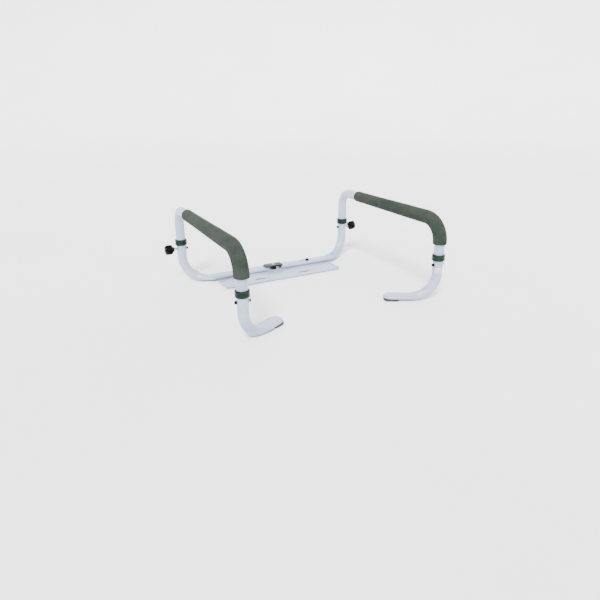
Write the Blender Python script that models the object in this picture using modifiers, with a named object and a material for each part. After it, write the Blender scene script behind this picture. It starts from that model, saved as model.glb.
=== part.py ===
"""Toilet safety frame: two padded arm rails on side tubes, joined by a bracket under the seat hinge.

Metres, +Z up. X is across the toilet, +Y points back to the tank, and z = 0 is the underside of the
lower tubes. Each side can slide out on the bracket, and each arm rail can lift in its side tubes.
"""
import math

import bmesh
import bpy
from mathutils import Matrix, Vector

GAP = 0.0003                      # clearance kept between neighbouring solids
OVERLAP = 0.001                   # how far joined shapes and cutters run into each other
WELD = 0.000001                   # vertices closer than this become one

# Driving dimensions
POST_X = 0.2655                   # centre plane to post axis
POST_DEPTH = 0.460                # front post axis to rear post axis
TUBE_R = 0.0127
GRIP_R_REAR = 0.0156
GRIP_R_FRONT = 0.0174
COLLAR_R = 0.01625
COLLAR_HEIGHT = 0.016
FRONT_Y = -(POST_DEPTH - GRIP_R_FRONT + COLLAR_R) / 2
REAR_Y = FRONT_Y + POST_DEPTH
RUN_Z = 0.0125                    # axis height of the tubes where they run level
COLLAR_Z = RUN_Z + 0.106          # middle of the collars
RAIL_Z = COLLAR_Z + 0.0925        # axis height of the arm rail
SIDES = 16                        # facets round a tube

# Arm rail
REAR_BEND_R = 0.040
FRONT_BEND_R = 0.055
RAIL_BEND_STEPS = 8
LEG_R = 0.0102                    # swaged leg that fits inside the side tube
LEG_REACH = 0.053                 # leg length below the collar middle
SWAGE_LENGTH = 0.004
WALL = 0.0014
GRIP_REAR_SETBACK = 0.086         # rear post axis to rear end of the grip
GRIP_END_Z = COLLAR_Z + 0.034
GRIP_END_ROUND = ((0.0, 0.0022), (0.008, 0.0006), (0.030, 0.0))   # (share of the run, cut off the radius)
BORE_OVERRUN = 0.010

# Side tubes
LOWER_BEND_R = 0.062
LOWER_BEND_STEPS = 9
BORE_R = 0.0114
TUBE_TOP_Z = COLLAR_Z - GAP
FRONT_RUN_ANGLE = math.radians(30)
FRONT_RUN_LENGTH = 0.134
REAR_RUN_ANGLE = math.radians(26)
BAR_Y = REAR_Y - 0.035            # axis of the flattened bars
BAR_END_X = 0.024
BAR_BEND_R = 0.020
TAB_HALF_WIDTH = 0.020
TAB_HALF_HEIGHT = 0.0035
BAR_HALF_WIDTH = 0.019
BAR_HALF_HEIGHT = 0.004
PRESS_LENGTH = 0.045              # run over which a tube goes from round to flat
TAB_PRESS_PAST_BEND = 0.012
BAR_PRESS_MARGIN = 0.010          # fully flat this far before the end of the knee
NOSE_ANGLES = (0, 30, 55, 75)
BORE_RINGS = 6
STEEP = 0.05                      # level part of a heading below which it counts as upright
WIDEN_IN = 0.010                  # travel of a side towards the middle
WIDEN_OUT = 0.025                 # travel of a side away from the middle

# Collars
COLLAR_SOFT = 0.0012
COLLAR_GROOVE = 0.0008
LIP_HEIGHT = 0.0015
LIP_BORE_R = LEG_R + 0.0009

# Cross bolts, all parallel to X
BOLT_Z = COLLAR_Z - 0.019
BOLT_R = 0.0025
BOLT_HOLE_R = 0.0029
LIFT = 0.025                      # travel of an arm rail
WASHER_R = 0.0050
WASHER_T = 0.0008
CAP_R = 0.0042
CAP_LENGTH = 0.0045
CAP_TOP_T = 0.0012
BOLT_IN_CAP = 0.0028
WASHER_START = TUBE_R + GAP
CAP_START = WASHER_START + WASHER_T + GAP
BOLT_REACH = CAP_START + BOLT_IN_CAP
KNOB_START = 0.0220               # post axis to the inner face of the knob hub
KNOB_LENGTH = 0.0250
KNOB_R = 0.0140
KNOB_LOBE = 0.0024
KNOB_LOBES = 6
KNOB_LOBE_STEPS = 6
KNOB_BEVEL = 0.0016
KNOB_HUB_R = 0.0072
KNOB_HUB_LENGTH = 0.004
SHOULDER_R = 0.0036
SHOULDER_END = 0.0380

# Bracket
PLATE_HALF_X = 0.184
PLATE_FRONT_Y = FRONT_Y + 0.330
PLATE_REAR_Y = FRONT_Y + 0.455
PLATE_T = 0.003
PLATE_TOP = RUN_Z - BAR_HALF_HEIGHT - GAP
PLATE_BOTTOM = PLATE_TOP - PLATE_T
PLATE_CORNER_R = 0.014
REST_Z = 0.0035                   # plane of the bowl rim
PAD_HALF_LENGTH = 0.020
PAD_HALF_WIDTH = 0.019
PAD_CORNER_R = 0.012
PAD_SETBACK = 0.022               # nose of the tab to the middle of its pad
HINGE_BOLT_X = 0.070
HINGE_BOLT_Y = PLATE_FRONT_Y + 0.026
HINGE_SLOT_LENGTH = 0.036
HINGE_SLOT_WIDTH = 0.012
GASKET_LENGTH = 0.096
GASKET_WIDTH = 0.044
GASKET_CORNER_R = 0.008
GASKET_SLOT_MARGIN = 0.001
CLAMP_X = 0.118                   # centre plane to the width bolts
CLAMP_WASHER_R = 0.0090
CARRIAGE_HEAD_R = 0.0080
CARRIAGE_CROWN = 0.0004
CLAMP_CAP_R = 0.0062
COVER_LENGTH = 0.056
COVER_WIDTH = 0.027
COVER_T = 0.0042
COVER_CORNER_R = 0.004
COVER_BEVEL = 0.0010
COVER_BOSS = 0.013
COVER_BOSS_INSET = 0.004
SCREW_R = 0.0021
SCREW_HOLE_R = 0.0025
SCREW_END_Z = REST_Z + 0.0005
SCREW_HEAD = ((0.0045, 0.0), (0.0045, 0.0010), (0.0027, 0.0022), (0.0, 0.0025))   # (radius, height)

# Finish name: (base colour, roughness, metallic)
FINISHES = {
    "white_powder_coat": ((0.80, 0.81, 0.84), 0.35, 0.0),
    "closed_cell_foam": ((0.13, 0.14, 0.11), 0.90, 0.0),
    "dark_green_plastic": ((0.035, 0.060, 0.050), 0.45, 0.0),
    "black_plastic": ((0.012, 0.012, 0.012), 0.40, 0.0),
    "zinc_steel": ((0.62, 0.62, 0.60), 0.30, 1.0),
    "black_rubber": ((0.020, 0.020, 0.020), 0.80, 0.0),
}


def clear_scene():
    for item in list(bpy.data.objects):
        bpy.data.objects.remove(item, do_unlink=True)


def new_collection(name):
    collection = bpy.data.collections.new(name)
    bpy.context.scene.collection.children.link(collection)
    return collection


def finish(part, finish_name):
    """Give a part its own material."""
    colour, roughness, metallic = FINISHES[finish_name]
    material = bpy.data.materials.new(part.name + "_" + finish_name)
    material.use_nodes = True
    shader = material.node_tree.nodes["Principled BSDF"]
    shader.inputs["Base Color"].default_value = (*colour, 1.0)
    shader.inputs["Roughness"].default_value = roughness
    shader.inputs["Metallic"].default_value = metallic
    part.data.materials.clear()
    part.data.materials.append(material)


def add_part(name, mesh, finish_name, matrix=Matrix()):
    """Put a mesh in the scene as one named part."""
    part = bpy.data.objects.new(name, mesh)
    PARTS.objects.link(part)
    part.matrix_world = matrix
    finish(part, finish_name)
    for polygon in mesh.polygons:
        polygon.use_smooth = True
    return part


def mesh_from(build, name):
    """Run a bmesh builder and return its mesh."""
    shape = bmesh.new()
    build(shape)
    bmesh.ops.recalc_face_normals(shape, faces=shape.faces)
    mesh = bpy.data.meshes.new(name)
    shape.to_mesh(mesh)
    shape.free()
    return mesh


def cylinder_mesh(name, radius, length, sides=SIDES):
    """A cylinder from z = 0 to z = length."""
    def build(shape):
        bmesh.ops.create_cone(shape, cap_ends=True, segments=sides, radius1=radius, radius2=radius,
                              depth=length, matrix=Matrix.Translation((0, 0, length / 2)))
    return mesh_from(build, name)


def block_mesh(name, size):
    """A box centred on its origin."""
    def build(shape):
        bmesh.ops.create_cube(shape, size=1.0, matrix=Matrix.Diagonal((*size, 1.0)))
    return mesh_from(build, name)


def curve_mesh(name, curve):
    """The mesh of a curve, with its caps welded on."""
    holder = bpy.data.objects.new(name, curve)
    PARTS.objects.link(holder)
    graph = bpy.context.evaluated_depsgraph_get()
    mesh = bpy.data.meshes.new_from_object(holder.evaluated_get(graph))
    bpy.data.objects.remove(holder)
    mesh.name = name
    shape = bmesh.new()
    shape.from_mesh(mesh)
    bmesh.ops.remove_doubles(shape, verts=shape.verts, dist=WELD)
    shape.to_mesh(mesh)
    shape.free()
    return mesh


def tube_mesh(name, points, radii, capped=True):
    """A swept tube through the points, with a radius at each one."""
    curve = bpy.data.curves.new(name, "CURVE")
    curve.dimensions = "3D"
    curve.bevel_depth = 1.0
    curve.bevel_resolution = (SIDES - 4) // 2
    curve.use_fill_caps = capped
    spline = curve.splines.new("POLY")
    spline.points.add(len(points) - 1)
    for place, point, radius in zip(spline.points, points, radii):
        place.co = (*point, 1.0)
        place.radius = radius
    return curve_mesh(name, curve)


def outline_mesh(name, points, thickness):
    """A flat plate with the given outline, centred on z = 0."""
    curve = bpy.data.curves.new(name, "CURVE")
    curve.dimensions = "2D"
    curve.fill_mode = "BOTH"
    curve.extrude = thickness / 2
    spline = curve.splines.new("POLY")
    spline.points.add(len(points) - 1)
    for place, point in zip(spline.points, points):
        place.co = (point[0], point[1], 0.0, 1.0)
    spline.use_cyclic_u = True
    return curve_mesh(name, curve)


def rounded_rectangle(half_x, half_y, radius, steps=4):
    """Outline points of a rectangle with round corners."""
    points = []
    for corner, (sign_x, sign_y) in enumerate([(1, 1), (-1, 1), (-1, -1), (1, -1)]):
        for step in range(steps + 1):
            angle = math.pi / 2 * (corner + step / steps)
            points.append((sign_x * (half_x - radius) + radius * math.cos(angle),
                           sign_y * (half_y - radius) + radius * math.sin(angle)))
    return points


def rounded_path(corners, radii, steps):
    """Points of a path whose inner corners are arcs, each in its own number of steps."""
    corners = [Vector(corner) for corner in corners]
    points = [corners[0]]
    for before, corner, after, radius, count in zip(corners, corners[1:], corners[2:], radii, steps):
        back = (before - corner).normalized()
        ahead = (after - corner).normalized()
        half = back.angle(ahead) / 2
        centre = corner + (back + ahead).normalized() * (radius / math.sin(half))
        start = corner + back * (radius / math.tan(half)) - centre
        axis = start.cross(corner + ahead * (radius / math.tan(half)) - centre).normalized()
        for step in range(count + 1):
            turn = Matrix.Rotation((math.pi - 2 * half) * step / count, 3, axis)
            points.append(centre + turn @ start)
    points.append(corners[-1])
    return points


def turned(name, profile, finish_name, matrix, steps=12, ring=False):
    """A turned solid: (radius, height) points from axis to axis, or a closed ring profile."""
    mesh = bpy.data.meshes.new(name)
    edges = [(i, i + 1) for i in range(len(profile) - 1)]
    if ring:
        edges.append((len(profile) - 1, 0))
    mesh.from_pydata([(radius, 0.0, height) for radius, height in profile], edges, [])
    part = add_part(name, mesh, finish_name, matrix)
    screw = part.modifiers.new("turn", "SCREW")
    screw.steps = steps
    screw.render_steps = steps
    screw.use_merge_vertices = True
    screw.merge_threshold = 10 * WELD
    screw.use_normal_flip = True
    screw.use_smooth_shade = True
    return part


def cut(part, mesh, matrix, name):
    """Cut a shape out of a part."""
    cutter = bpy.data.objects.new(name, mesh)
    CUTTERS.objects.link(cutter)
    cutter.matrix_world = matrix
    cutter.hide_render = True
    cutter.display_type = "WIRE"
    boolean = part.modifiers.new(name, "BOOLEAN")
    boolean.operation = "DIFFERENCE"
    boolean.solver = "EXACT"
    boolean.object = cutter


def bevel(part, width):
    modifier = part.modifiers.new("soft_edges", "BEVEL")
    modifier.width = width
    modifier.segments = 1
    modifier.limit_method = "ANGLE"
    modifier.angle_limit = math.radians(40)


def outward(side, y, z):
    """Place a shape whose local +Z points away from the middle, on a post's cross bolt."""
    return Matrix.Translation((side * POST_X, y, z)) @ Matrix.Rotation(side * math.pi / 2, 4, "Y")


def slot_mesh(name, length, width, depth):
    """A slot cutter along local X, with round ends, through the given depth."""
    return outline_mesh(name, rounded_rectangle(length / 2, width / 2, width / 2 - 10 * WELD), depth)


def cut_bolt_hole(part, side, y):
    reach = 2 * TUBE_R
    matrix = outward(side, y, BOLT_Z) @ Matrix.Translation((0, 0, -reach))
    cut(part, cylinder_mesh("bolt_hole", BOLT_HOLE_R, 2 * reach, 12), matrix, part.name + "_bolt_hole")


# Arm rail and grip

def rail_path(side, leg_bottom):
    x = side * POST_X
    corners = [(x, REAR_Y, leg_bottom), (x, REAR_Y, RAIL_Z), (x, FRONT_Y, RAIL_Z), (x, FRONT_Y, leg_bottom)]
    return rounded_path(corners, [REAR_BEND_R, FRONT_BEND_R], [7, RAIL_BEND_STEPS])


def add_handrail(side, label):
    """A bent tube with swaged legs; the legs are slotted so that the cross bolts stay in place."""
    shoulder = COLLAR_Z + LIP_HEIGHT + GAP
    body = rail_path(side, shoulder + SWAGE_LENGTH)
    rear_leg = [Vector((side * POST_X, REAR_Y, z)) for z in (COLLAR_Z - LEG_REACH, shoulder)]
    front_leg = [Vector((side * POST_X, FRONT_Y, z)) for z in (shoulder, COLLAR_Z - LEG_REACH)]
    radii = [LEG_R] * 2 + [TUBE_R] * len(body) + [LEG_R] * 2
    mesh = tube_mesh(label + "_handrail", rear_leg + body + front_leg, radii, capped=False)
    part = add_part(label + "_handrail", mesh, "white_powder_coat")
    shell = part.modifiers.new("wall", "SOLIDIFY")
    shell.thickness = WALL
    shell.offset = -1.0
    length = LIFT + 2 * BOLT_HOLE_R
    for end, y in (("rear", REAR_Y), ("front", FRONT_Y)):
        matrix = outward(side, y, BOLT_Z - LIFT / 2)
        slot = slot_mesh("slot", length, 2 * BOLT_HOLE_R, 4 * TUBE_R)
        cut(part, slot, matrix, part.name + "_" + end + "_slot")
    return part


def add_grip(side, label):
    """A foam sleeve, a little fatter round the front bend and down the front leg."""
    x = side * POST_X
    corners = [(x, REAR_Y - GRIP_REAR_SETBACK, RAIL_Z), (x, FRONT_Y, RAIL_Z), (x, FRONT_Y, GRIP_END_Z)]
    bend = rounded_path(corners, [FRONT_BEND_R], [RAIL_BEND_STEPS])
    end_points = [bend[0].lerp(bend[1], share) for share, cut_off in GRIP_END_ROUND]
    points = end_points + [bend[0].lerp(bend[1], 0.5)] + bend[1:]
    radii = [GRIP_R_REAR - cut_off for share, cut_off in GRIP_END_ROUND]
    radii += [(GRIP_R_REAR + GRIP_R_FRONT) / 2] + [GRIP_R_FRONT] * (len(bend) - 1)
    part = add_part(label + "_grip", tube_mesh(label + "_grip", points, radii), "closed_cell_foam")
    rear_end = bend[0] + Vector((0, BORE_OVERRUN, 0))
    low_end = bend[-1] - Vector((0, 0, BORE_OVERRUN))
    past_end = [rear_end] + bend[1:-1] + [low_end]
    bore = tube_mesh("bore", past_end, [TUBE_R + GAP] * len(past_end))
    cut(part, bore, Matrix(), part.name + "_bore")
    return part


# Side tubes, round at the post and flattened where they rest

def stadium_ring(centre, sideways, upward, half_width, half_height):
    """Points round a flattened tube: two half circles joined by flats."""
    shift = half_width - half_height
    points = []
    for step in range(SIDES):
        angle = 2 * math.pi * (step + 0.5) / SIDES
        across = half_height * math.cos(angle) + math.copysign(shift, math.cos(angle))
        points.append(centre + sideways * across + upward * (half_height * math.sin(angle)))
    return points


def ring_frames(points, first_plan):
    """Sideways and upward directions at each point of a path that starts straight down."""
    frames = []
    plan = first_plan.normalized()
    for index, point in enumerate(points):
        ahead = points[min(index + 1, len(points) - 1)] - points[max(index - 1, 0)]
        ahead.normalize()
        level = Vector((ahead.x, ahead.y, 0))
        if level.length > STEEP:
            plan = level.normalized()
        sideways = Vector((-plan.y, plan.x, 0))
        frames.append((sideways, sideways.cross(ahead).normalized()))
    return frames


def skin_mesh(name, rings):
    """Join rings of points into one closed skin, with a face over the first and the last."""
    def build(shape):
        loops = [[shape.verts.new(point) for point in ring] for ring in rings]
        for lower, upper in zip(loops, loops[1:]):
            for step in range(SIDES):
                following = (step + 1) % SIDES
                shape.faces.new((lower[step], lower[following], upper[following], upper[step]))
        shape.faces.new(loops[0])
        shape.faces.new(loops[-1])
    return mesh_from(build, name)


def smooth_step(value):
    value = min(max(value, 0.0), 1.0)
    return value * value * (3 - 2 * value)


def side_tube_mesh(name, points, first_plan, sizes):
    """A tube skin: up the blind bore, over the rim, then down the outside to its flattened end."""
    frames = ring_frames(points, first_plan)
    outer = [stadium_ring(point, sideways, upward, width, height)
             for point, (sideways, upward), (width, height) in zip(points, frames, sizes)]
    inner = [stadium_ring(point, sideways, upward, BORE_R, BORE_R)
             for point, (sideways, upward) in zip(points[:BORE_RINGS], frames)]
    return skin_mesh(name, inner[::-1] + outer)


def path_lengths(points):
    lengths = [0.0]
    for before, after in zip(points, points[1:]):
        lengths.append(lengths[-1] + (after - before).length)
    return lengths


def flattening(lengths, flat_start, half_width, half_height):
    """Half width and half height of the tube at each length, pressed flat from flat_start on."""
    sizes = []
    for length in lengths:
        share = smooth_step(1 + (length - flat_start) / PRESS_LENGTH)
        sizes.append((TUBE_R + (half_width - TUBE_R) * share, TUBE_R + (half_height - TUBE_R) * share))
    return sizes


def add_front_tube(side, label):
    """Front side tube: down from the collar, in under the seat, ending in a round-nosed tab."""
    x = side * POST_X
    inward = Vector((-side * math.cos(FRONT_RUN_ANGLE), math.sin(FRONT_RUN_ANGLE), 0))
    foot = Vector((x, FRONT_Y, RUN_Z))
    nose = foot + inward * FRONT_RUN_LENGTH
    points = rounded_path([(x, FRONT_Y, TUBE_TOP_Z), foot, nose], [LOWER_BEND_R], [LOWER_BEND_STEPS])
    nose_start = nose - inward * TAB_HALF_WIDTH
    tail = [points[-2].lerp(nose_start, share) for share in (0.3, 0.6)]
    turns = [math.radians(angle) for angle in NOSE_ANGLES]
    rounded = [nose_start + inward * (TAB_HALF_WIDTH * math.sin(turn)) for turn in turns]
    points = points[:-1] + tail + rounded
    lengths = path_lengths(points)
    flat_start = lengths[LOWER_BEND_STEPS + 1] + TAB_PRESS_PAST_BEND
    sizes = flattening(lengths, flat_start, TAB_HALF_WIDTH, TAB_HALF_HEIGHT)
    for index, turn in enumerate(turns, len(points) - len(turns)):
        half_width = max(TAB_HALF_WIDTH * math.cos(turn), TAB_HALF_HEIGHT)
        sizes[index] = (half_width, TAB_HALF_HEIGHT)
    mesh = side_tube_mesh(label + "_front_tube", points, inward, sizes)
    part = add_part(label + "_front_tube", mesh, "white_powder_coat")
    cut_bolt_hole(part, side, FRONT_Y)
    return part


def add_rear_tube(side, label):
    """Rear side tube: down from the collar, in to the bracket, ending in a slotted flat bar."""
    x = side * POST_X
    inward = Vector((-side * math.cos(REAR_RUN_ANGLE), -math.sin(REAR_RUN_ANGLE), 0))
    foot = Vector((x, REAR_Y, RUN_Z))
    knee = foot + inward * ((REAR_Y - BAR_Y) / math.sin(REAR_RUN_ANGLE))
    bar_end = Vector((side * BAR_END_X, BAR_Y, RUN_Z))
    corners = [(x, REAR_Y, TUBE_TOP_Z), foot, knee, bar_end]
    points = rounded_path(corners, [LOWER_BEND_R, BAR_BEND_R], [LOWER_BEND_STEPS, 3])
    bend_end = LOWER_BEND_STEPS + 1
    between = [points[bend_end].lerp(points[bend_end + 1], share) for share in (0.35, 0.70)]
    points = points[:bend_end + 1] + between + points[bend_end + 1:]
    lengths = path_lengths(points)
    sizes = flattening(lengths, lengths[-2] - BAR_PRESS_MARGIN, BAR_HALF_WIDTH, BAR_HALF_HEIGHT)
    mesh = side_tube_mesh(label + "_rear_tube", points, inward, sizes)
    part = add_part(label + "_rear_tube", mesh, "white_powder_coat")
    cut_bolt_hole(part, side, REAR_Y)
    length = WIDEN_IN + WIDEN_OUT + 2 * BOLT_HOLE_R
    middle = side * (CLAMP_X + (WIDEN_IN - WIDEN_OUT) / 2)
    cut(part, slot_mesh("slot", length, 2 * BOLT_HOLE_R, 4 * BAR_HALF_HEIGHT),
        Matrix.Translation((middle, BAR_Y, RUN_Z)), part.name + "_width_slot")
    return part


def add_collar(name, side, y):
    """A moulded ring on the tube joint, with an inner lip between the two tubes."""
    half = COLLAR_HEIGHT / 2
    bore = (TUBE_R + GAP) / math.cos(math.pi / SIDES)
    profile = [(bore, -half), (COLLAR_R - COLLAR_SOFT, -half), (COLLAR_R, COLLAR_SOFT - half),
               (COLLAR_R, -COLLAR_GROOVE), (COLLAR_R - COLLAR_GROOVE, 0.0), (COLLAR_R, COLLAR_GROOVE),
               (COLLAR_R, half - 2 * COLLAR_SOFT), (COLLAR_R - COLLAR_SOFT, half),
               (bore + COLLAR_SOFT, half), (bore, half - 2 * COLLAR_SOFT), (bore, LIP_HEIGHT),
               (LIP_BORE_R, LIP_HEIGHT), (LIP_BORE_R, 0.0), (bore, 0.0)]
    place = Matrix.Translation((side * POST_X, y, COLLAR_Z))
    turned(name, profile, "dark_green_plastic", place, SIDES, True)


# Cross bolts and knobs

def add_washer(name, matrix, outer=WASHER_R):
    profile = [(BOLT_HOLE_R, 0.0), (outer, 0.0), (outer, WASHER_T), (BOLT_HOLE_R, WASHER_T)]
    turned(name, profile, "zinc_steel", matrix, 12, True)


def add_cap(name, matrix, radius=CAP_R):
    """A domed nut with a blind hole, opening towards local -Z."""
    depth = CAP_LENGTH - CAP_TOP_T
    dome = [(radius, CAP_LENGTH * 0.45), (radius * 0.85, CAP_LENGTH * 0.80),
            (radius * 0.45, CAP_LENGTH * 0.97), (0.0, CAP_LENGTH)]
    profile = [(0.0, depth), (BOLT_HOLE_R, depth), (BOLT_HOLE_R, 0.0), (radius, 0.0)] + dome
    turned(name, profile, "black_plastic", matrix)


def add_front_bolt(side, label):
    place = outward(side, FRONT_Y, BOLT_Z)
    back = place @ Matrix.Rotation(math.pi, 4, "X")
    shank = cylinder_mesh(label + "_front_bolt", BOLT_R, 2 * BOLT_REACH, 12)
    add_part(label + "_front_bolt", shank, "zinc_steel", place @ Matrix.Translation((0, 0, -BOLT_REACH)))
    for end, matrix in (("outer", place), ("inner", back)):
        add_washer(label + "_front_" + end + "_washer", matrix @ Matrix.Translation((0, 0, WASHER_START)))
        add_cap(label + "_front_" + end + "_nut", matrix @ Matrix.Translation((0, 0, CAP_START)))


def knob_outline():
    points = []
    count = KNOB_LOBES * KNOB_LOBE_STEPS
    for step in range(count):
        angle = 2 * math.pi * step / count
        radius = KNOB_R - KNOB_LOBE + KNOB_LOBE * math.cos(KNOB_LOBES * angle)
        points.append((radius * math.cos(angle), radius * math.sin(angle)))
    return points


def add_knob(side, label):
    """Star knob on a shouldered screw, with its washer, and the cap nut on the other side."""
    place = outward(side, REAR_Y, BOLT_Z)
    head_length = KNOB_LENGTH - KNOB_HUB_LENGTH
    head = outline_mesh("head", knob_outline(), head_length)
    head.transform(Matrix.Translation((0, 0, KNOB_START + KNOB_HUB_LENGTH + head_length / 2)))
    knob = add_part(label + "_star_knob", head, "black_plastic", place)
    bevel(knob, KNOB_BEVEL)
    hub = cylinder_mesh("hub", KNOB_HUB_R, KNOB_HUB_LENGTH + 2 * OVERLAP)
    join(knob, hub, place @ Matrix.Translation((0, 0, KNOB_START)), label + "_knob_hub")
    socket = cylinder_mesh("socket", SHOULDER_R + GAP, SHOULDER_END + GAP - KNOB_START + OVERLAP, 12)
    cut(knob, socket, place @ Matrix.Translation((0, 0, KNOB_START - OVERLAP)), label + "_knob_socket")
    profile = [(0.0, -BOLT_REACH), (BOLT_R, -BOLT_REACH), (BOLT_R, CAP_START), (SHOULDER_R, CAP_START),
               (SHOULDER_R, SHOULDER_END), (0.0, SHOULDER_END)]
    turned(label + "_knob_screw", profile, "zinc_steel", place)
    add_washer(label + "_knob_washer", place @ Matrix.Translation((0, 0, WASHER_START)))
    back = place @ Matrix.Rotation(math.pi, 4, "X")
    add_washer(label + "_rear_washer", back @ Matrix.Translation((0, 0, WASHER_START)))
    add_cap(label + "_rear_nut", back @ Matrix.Translation((0, 0, CAP_START)))


def join(part, mesh, matrix, name):
    """Add a shape to a part."""
    cut(part, mesh, matrix, name)
    part.modifiers[name].operation = "UNION"


# Bracket and rests

def add_front_pad(side, label):
    """Rubber pad under the front tab."""
    inward = Vector((-side * math.cos(FRONT_RUN_ANGLE), math.sin(FRONT_RUN_ANGLE), 0))
    top = RUN_Z - TAB_HALF_HEIGHT - GAP
    height = top - REST_Z
    centre = Vector((side * POST_X, FRONT_Y, REST_Z + height / 2))
    centre += inward * (FRONT_RUN_LENGTH - PAD_SETBACK)
    matrix = Matrix.Translation(centre) @ Matrix.Rotation(math.atan2(inward.y, inward.x), 4, "Z")
    mesh = outline_mesh("pad", rounded_rectangle(PAD_HALF_LENGTH, PAD_HALF_WIDTH, PAD_CORNER_R), height)
    add_part(label + "_front_pad", mesh, "black_rubber", matrix)


def add_plate():
    """The bracket plate, with slots for the seat hinge bolts."""
    middle_y = (PLATE_FRONT_Y + PLATE_REAR_Y) / 2
    outline = rounded_rectangle(PLATE_HALF_X, (PLATE_REAR_Y - PLATE_FRONT_Y) / 2, PLATE_CORNER_R)
    mesh = outline_mesh("plate", outline, PLATE_T)
    centre = Matrix.Translation((0, middle_y, PLATE_TOP - PLATE_T / 2))
    plate = add_part("mounting_plate", mesh, "white_powder_coat", centre)
    hole = cylinder_mesh("hole", SCREW_HOLE_R, 3 * PLATE_T, 12)
    cut(plate, hole, Matrix.Translation((0, BAR_Y, PLATE_BOTTOM - PLATE_T)), "centre_hole")
    for side, label in ((-1, "left"), (1, "right")):
        slot = slot_mesh("slot", HINGE_SLOT_LENGTH, HINGE_SLOT_WIDTH, 3 * PLATE_T)
        place = Matrix.Translation((side * HINGE_BOLT_X, HINGE_BOLT_Y, PLATE_TOP))
        cut(plate, slot, place, label + "_hinge_slot")
        hole = cylinder_mesh("hole", BOLT_HOLE_R, 3 * PLATE_T, 12)
        place = Matrix.Translation((side * CLAMP_X, BAR_Y, PLATE_BOTTOM - PLATE_T))
        cut(plate, hole, place, label + "_bolt_hole")


def add_gasket(side, label):
    """Thin rubber sheet between the plate and the bowl, slotted like the plate."""
    height = PLATE_BOTTOM - GAP - REST_Z
    outline = rounded_rectangle(GASKET_LENGTH / 2, GASKET_WIDTH / 2, GASKET_CORNER_R)
    mesh = outline_mesh("gasket", outline, height)
    place = Matrix.Translation((side * HINGE_BOLT_X, HINGE_BOLT_Y, REST_Z + height / 2))
    gasket = add_part(label + "_gasket", mesh, "black_rubber", place)
    length = HINGE_SLOT_LENGTH + GASKET_SLOT_MARGIN
    slot = slot_mesh("slot", length, HINGE_SLOT_WIDTH + GASKET_SLOT_MARGIN, 4 * height)
    cut(gasket, slot, place, label + "_gasket_slot")


def add_width_bolt(side, label):
    """Carriage bolt up through the plate and the bar slot, with its washer and nut."""
    x = side * CLAMP_X
    head_top = PLATE_BOTTOM - GAP
    washer_z = RUN_Z + BAR_HALF_HEIGHT + GAP
    nut_z = washer_z + WASHER_T + GAP
    bolt_top = nut_z + BOLT_IN_CAP
    profile = [(0.0, REST_Z), (CARRIAGE_HEAD_R, REST_Z + CARRIAGE_CROWN), (CARRIAGE_HEAD_R, head_top),
               (BOLT_R, head_top), (BOLT_R, bolt_top), (0.0, bolt_top)]
    turned(label + "_width_bolt", profile, "zinc_steel", Matrix.Translation((x, BAR_Y, 0)))
    add_washer(label + "_width_washer", Matrix.Translation((x, BAR_Y, washer_z)), CLAMP_WASHER_R)
    add_cap(label + "_width_nut", Matrix.Translation((x, BAR_Y, nut_z)), CLAMP_CAP_R)


def add_centre_cover():
    """Moulded guide over the inner ends of both bars, screwed to the plate between them."""
    bottom = RUN_Z + BAR_HALF_HEIGHT + GAP
    top = bottom + COVER_T
    outline = rounded_rectangle(COVER_LENGTH / 2, COVER_WIDTH / 2, COVER_CORNER_R)
    mesh = outline_mesh("cover", outline, COVER_T)
    centre = Matrix.Translation((0, BAR_Y, bottom + COVER_T / 2))
    cover = add_part("centre_guide", mesh, "dark_green_plastic", centre)
    bevel(cover, COVER_BEVEL)
    boss_bottom = PLATE_TOP + GAP
    boss_top = bottom + OVERLAP
    boss = block_mesh("boss", (COVER_BOSS, COVER_WIDTH - COVER_BOSS_INSET, boss_top - boss_bottom))
    join(cover, boss, Matrix.Translation((0, BAR_Y, (boss_top + boss_bottom) / 2)), "guide_boss")
    hole = cylinder_mesh("hole", SCREW_HOLE_R, top + OVERLAP, 12)
    cut(cover, hole, Matrix.Translation((0, BAR_Y, 0)), "guide_hole")
    head = top + GAP
    profile = [(0.0, SCREW_END_Z), (SCREW_R, SCREW_END_Z), (SCREW_R, head)]
    profile += [(radius, head + height) for radius, height in SCREW_HEAD]
    turned("guide_screw", profile, "zinc_steel", Matrix.Translation((0, BAR_Y, 0)))


def add_side(side, label):
    add_handrail(side, label)
    add_grip(side, label)
    add_front_tube(side, label)
    add_rear_tube(side, label)
    add_collar(label + "_front_collar", side, FRONT_Y)
    add_collar(label + "_rear_collar", side, REAR_Y)
    add_front_bolt(side, label)
    add_knob(side, label)
    add_front_pad(side, label)
    add_gasket(side, label)
    add_width_bolt(side, label)


clear_scene()
PARTS = new_collection("toilet_safety_frame")
CUTTERS = new_collection("cutters")
add_plate()
add_centre_cover()
for side_sign, side_label in ((-1, "left"), (1, "right")):
    add_side(side_sign, side_label)
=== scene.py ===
"""Looks of the toilet safety frame: tubes, foam grips, mouldings and fasteners on the CAD frame."""
import math

import bmesh
import bpy
from mathutils import Matrix, Vector, noise


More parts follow.
